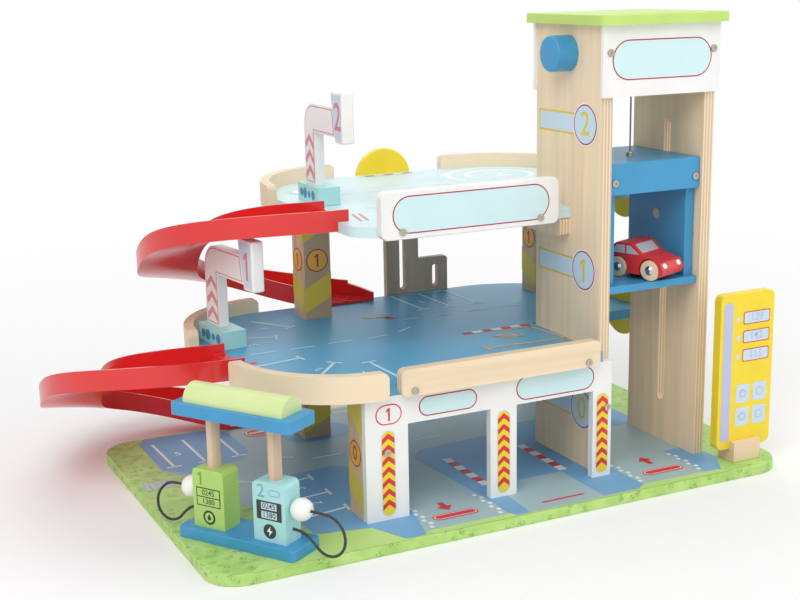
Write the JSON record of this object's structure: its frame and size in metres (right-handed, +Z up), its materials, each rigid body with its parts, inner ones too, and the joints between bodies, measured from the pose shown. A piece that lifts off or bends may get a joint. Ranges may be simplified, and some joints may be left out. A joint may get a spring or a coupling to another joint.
{
  "type": "toy parking garage",
  "caption": "Wooden toy parking garage with decks on posts, a wound lift in a slotted tower, curved channel ramps, street front, level signs, fuel station and a small car.",
  "frame": {"origin": "centre of the base board's underside", "axes": "+X to the right along the street front, +Y from the street front to the back, +Z up"},
  "size_m": [0.6687, 0.4721, 0.4506],
  "materials": {
    "aqua": "satin",
    "ball": "satin",
    "base_print": "satin",
    "blue": "satin",
    "car_red": "glossy",
    "cord": "matt",
    "deck_blue": "satin",
    "deck_pale": "satin",
    "dowel": "satin",
    "hose": "matt",
    "lime": "satin",
    "pale_lime": "satin",
    "ply": "satin",
    "ramp_red": "glossy",
    "roof_green": "satin",
    "screw": "brushed",
    "white_board": "satin",
    "yellow": "satin"
  },
  "bodies": {
    "frame": {"base_board": "base_print", "deck_1": "deck_blue", "deck_2": "deck_pale", "deck_2_sign": "white_board", "deck_ledges": "ply", "facade": "white_board", "frame_screws": "screw", "ground_posts": "dowel", "rail_1_front": "ply", "rail_1_left_back": "ply", "rail_1_left_front": "ply", "rail_2_left_back": "ply", "rail_2_right_back": "ply", "rear_panel": "ply", "stop_discs": "yellow", "tower_head_boards": "white_board", "tower_left_panel": "ply", "tower_right_panel": "ply", "tower_roof": "roof_green", "upper_posts": "dowel"},
    "lift": {"cabin_floor": "blue", "cabin_roof": "blue", "cabin_left_wall": "blue", "cabin_right_wall": "blue", "cabin_aprons": "blue", "guide_pin": "dowel", "cord_eye": "screw", "lift_cord": "cord", "cabin_screws": "screw"},
    "winch": {"winch_axle": "dowel", "winch_knob": "blue", "winch_spool": "dowel", "winch_collar": "screw"},
    "car": {"car_body": "car_red"},
    "car_front_axle": {"car_front_wheels": "dowel", "car_front_axle": "screw"},
    "car_rear_axle": {"car_rear_wheels": "dowel", "car_rear_axle": "screw"},
    "ramp_upper": {"ramp_upper": "ramp_red"},
    "ramp_lower": {"ramp_lower": "ramp_red"},
    "sign_1": {"sign_1_block": "aqua", "sign_1_board": "white_board", "sign_1_box": "white_board"},
    "sign_2": {"sign_2_block": "aqua", "sign_2_board": "white_board", "sign_2_box": "white_board"},
    "pump_station": {"pump_plate": "blue", "fuel_pump_1": "lime", "fuel_pump_2": "aqua", "canopy_posts": "dowel", "canopy_slab": "blue", "canopy_ridge": "pale_lime", "nozzle_1": "ball", "nozzle_2": "ball", "hose_1": "hose", "hose_2": "hose"},
    "totem": {"totem_block": "dowel", "totem_board": "yellow"}
  },
  "joints": [
    {"name": "lift_slide", "type": "slide", "parent": "frame", "child": "lift", "axis": [0, 0, 1], "range_m": [-0.1777, 0.072], "deforming": ["lift_cord"]},
    {"name": "winch_turn", "type": "hinge", "parent": "frame", "child": "winch", "pos_m": [0.17485, -0.0765, 0.414], "axis": [1, 0, 0], "range_deg": [-390, 950]},
    {"name": "car_roll", "type": "slide", "parent": "lift", "child": "car", "axis": [0.3746, -0.9272, 0], "range_m": [-0.03, 0.06]},
    {"name": "car_front_spin", "type": "hinge", "parent": "car", "child": "car_front_axle", "pos_m": [0.18859, -0.12069, 0.2055], "axis": [0.9272, 0.3746, 0], "range_deg": [-180, 345]},
    {"name": "car_rear_spin", "type": "hinge", "parent": "car", "child": "car_rear_axle", "pos_m": [0.17511, -0.08731, 0.2055], "axis": [0.9272, 0.3746, 0], "range_deg": [-180, 345]},
    {"name": "ramp_upper_off", "type": "slide", "parent": "frame", "child": "ramp_upper", "axis": [0, 0, 1], "range_m": [0, 0.04]},
    {"name": "ramp_lower_off", "type": "slide", "parent": "frame", "child": "ramp_lower", "axis": [0, 0, 1], "range_m": [0, 0.04]},
    {"name": "sign_1_shift", "type": "slide", "parent": "frame", "child": "sign_1", "axis": [1, 0, 0], "range_m": [0, 0.03]},
    {"name": "sign_2_off", "type": "slide", "parent": "frame", "child": "sign_2", "axis": [0, 0, 1], "range_m": [0, 0.04]},
    {"name": "pump_station_off", "type": "slide", "parent": "frame", "child": "pump_station", "axis": [0, 0, 1], "range_m": [0, 0.05]},
    {"name": "totem_off", "type": "slide", "parent": "frame", "child": "totem", "axis": [0, 0, 1], "range_m": [0, 0.05]}
  ],
  "couplings": [
    {"joint": "winch_turn", "follows": "lift_slide", "rad_per_m": -92.593},
    {"joint": "car_front_spin", "follows": "car_roll", "rad_per_m": 98.039},
    {"joint": "car_rear_spin", "follows": "car_roll", "rad_per_m": 98.039}
  ]
}
